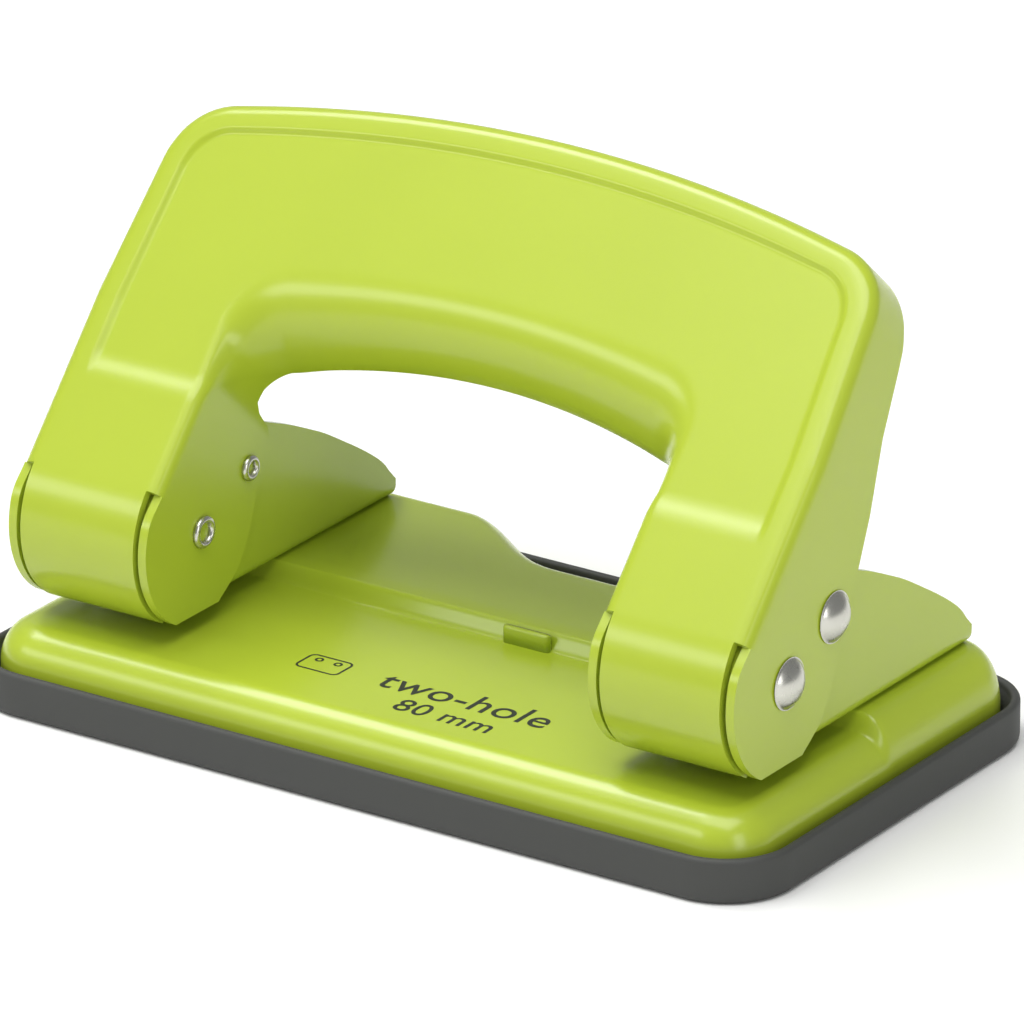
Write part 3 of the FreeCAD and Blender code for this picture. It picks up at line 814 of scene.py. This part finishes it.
for side, x in sides.items():
    buildRivet(side, "pivot", x, place["pivotY"], place["pivotZ"], "base")
    buildRivet(side, "drive", x, place["driveY"], place["driveZ"], "lever")
    buildSpring(side, x)
print("rivets and springs built")


# print on the deck: plain wording beside a two-hole sheet
printSize = {"words": (-4.6, -18.6), "title": 6.0, "spacing": (0.6, -23.2), "small": 4.6,
             "sheet": (-12.6, -17.0), "sheetSize": (6.0, 4.2), "sheetCorner": 0.9, "line": 0.28,
             "hole": 0.55, "holeAcross": 1.3, "holeUp": 0.9, "lift": 0.02}


# flat ink between two closed outlines in deck coordinates
def inkRing(name, outer, inner):
    height = place["deckLow"] + printSize["lift"]
    grid = np.stack([liftedRing(outer, height), liftedRing(inner, height)])
    points, faces = weldPatches([grid])
    return makePiece(name, points, faces, grid[0, 0], (0, 0, 1))


# outline of a sheet with two round holes
def buildSheetSign():
    size = printSize
    centre = np.array(size["sheet"])
    outer, inner = [roundedRectangle(*size["sheetSize"], size["sheetCorner"], inset) + centre
                    for inset in (0.0, size["line"])]
    rings = [inkRing("printSheet", outer, inner)]
    for index, across in enumerate((-size["holeAcross"], size["holeAcross"])):
        spot = centre + np.array([across, size["holeUp"]])
        wide, small = [arcPoints(spot, radius, 0, 345, 24) for radius in (size["hole"], size["hole"] * 0.5)]
        rings.append(inkRing("printHole" + str(index), wide, small))
    return rings


# lettering made a mesh and moved to its place on the low deck
def flatWords(name, words, size, x, y):
    curve = bpy.data.curves.new(name, "FONT")
    curve.body = words
    curve.size = size * 0.001
    curve.align_x = "LEFT"
    curve.space_character = 1.05
    curve.offset = 0.00003
    lettering = bpy.data.objects.new(name, curve)
    bpy.context.scene.collection.objects.link(lettering)
    bpy.context.view_layer.update()
    mesh = bpy.data.meshes.new_from_object(lettering)
    bpy.data.objects.remove(lettering)
    height = place["deckLow"] + printSize["lift"]
    mesh.transform(Matrix.Translation((x * 0.001, y * 0.001, height * 0.001)))
    piece = bpy.data.objects.new(name, mesh)
    bpy.context.scene.collection.objects.link(piece)
    return piece


# words and sign in ink on the base; the record has no slot for ink, so they get the ink material directly
def buildPrint():
    size = printSize
    pieces = [flatWords("printTitle", "two-hole", size["title"], *size["words"]),
              flatWords("printSpacing", "80 mm", size["small"], *size["spacing"])]
    for piece in pieces + buildSheetSign():
        piece.data.materials.clear()
        piece.data.materials.append(ink)
        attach(piece, "base")


buildPrint()
print("print built")


# pale sweep, and a camera that looks at the target from an azimuth and an elevation
stage = {"floor": "#f4f4f2", "target": (0.00583, -0.00585, 0.02873), "azimuth": 33.82,
         "elevation": 22.25, "distance": 1.277, "lens": 394.0}
softboxes = {
    "overheadBox": {"position": (0.0, -0.3, 1.25), "size": (1.4, 0.9), "power": 15.0},
    "shoulderBox": {"position": (-0.67, 0.05, 1.11), "size": (0.6, 0.35), "power": 5.0},
    "bandBox": {"position": (-0.74, -1.02, 0.66), "size": (0.9, 0.3), "power": 3.6},
    "rightBox": {"position": (1.3, -0.7, 0.55), "size": (0.5, 0.9), "power": 4.4},
}
room = {"colour": "#f2f4f4", "strength": 0.34}


# floor that turns up behind the punch in a quarter circle, square to the camera's azimuth
def buildStage():
    reach, radius = 1400.0, 900.0
    angle = np.linspace(0, math.pi / 2, 24)
    curve = np.stack([reach + radius * np.sin(angle), radius - radius * np.cos(angle)], -1)
    profile = np.concatenate([[[-4000.0, 0.0]], curve, [[reach + radius, 4000.0]]])
    azimuth = math.radians(stage["azimuth"])
    direction = np.array([-math.sin(azimuth), math.cos(azimuth)])
    sideways = np.array([direction[1], -direction[0]])
    wide = np.linspace(-4000, 4000, 3)
    grid = np.zeros((len(profile), len(wide), 3))
    grid[..., :2] = profile[:, 0][:, None, None] * direction + wide[None, :, None] * sideways
    grid[..., 2] = profile[:, 1][:, None]
    points, faces = weldPatches([grid])
    floor = makePiece("paleSweep", points, faces, (0, 0, 0), (0, 0, 1))
    material, tree = newMaterial("paperSweep")
    shader = addNode(tree, "ShaderNodeBsdfPrincipled",
                     {"Base Color": linearColour(stage["floor"]), "Roughness": 0.8})
    addNode(tree, "ShaderNodeOutputMaterial", None, {"Surface": shader.outputs["BSDF"]})
    floor.data.materials.append(material)


# rectangular light that looks at the middle of the punch
def addSoftbox(name, position, size, power):
    light = bpy.data.lights.new(name, "AREA")
    light.shape = "RECTANGLE"
    light.size, light.size_y = size
    light.energy = power
    lamp = bpy.data.objects.new(name, light)
    lamp.location = position
    towards = Vector((0, 0, 0.03)) - Vector(position)
    lamp.rotation_euler = towards.to_track_quat("-Z", "Y").to_euler()
    bpy.context.scene.collection.objects.link(lamp)


# softboxes, and a pale room all round
def buildLights():
    for name, box in softboxes.items():
        addSoftbox(name, **box)
    world = bpy.data.worlds.new("studioRoom")
    world.use_nodes = True
    background = world.node_tree.nodes["Background"]
    background.inputs["Color"].default_value = linearColour(room["colour"])
    background.inputs["Strength"].default_value = room["strength"]
    bpy.context.scene.world = world


# camera on a sphere round the target: back = (sin az cos el, -cos az cos el, sin el)
def buildCamera():
    azimuth, elevation = math.radians(stage["azimuth"]), math.radians(stage["elevation"])
    back = Vector((math.sin(azimuth) * math.cos(elevation), -math.cos(azimuth) * math.cos(elevation),
                   math.sin(elevation)))
    camera = bpy.data.cameras.new("benchCamera")
    camera.lens = stage["lens"]
    camera.sensor_width = 36.0
    camera.clip_end = 20.0
    holder = bpy.data.objects.new("benchCamera", camera)
    holder.location = Vector(stage["target"]) + back * stage["distance"]
    holder.rotation_euler = back.to_track_quat("Z", "Y").to_euler()
    bpy.context.scene.collection.objects.link(holder)
    bpy.context.scene.camera = holder


buildStage()
buildLights()
buildCamera()
bpy.context.scene.view_settings.view_transform = "Standard"
print("studio built")
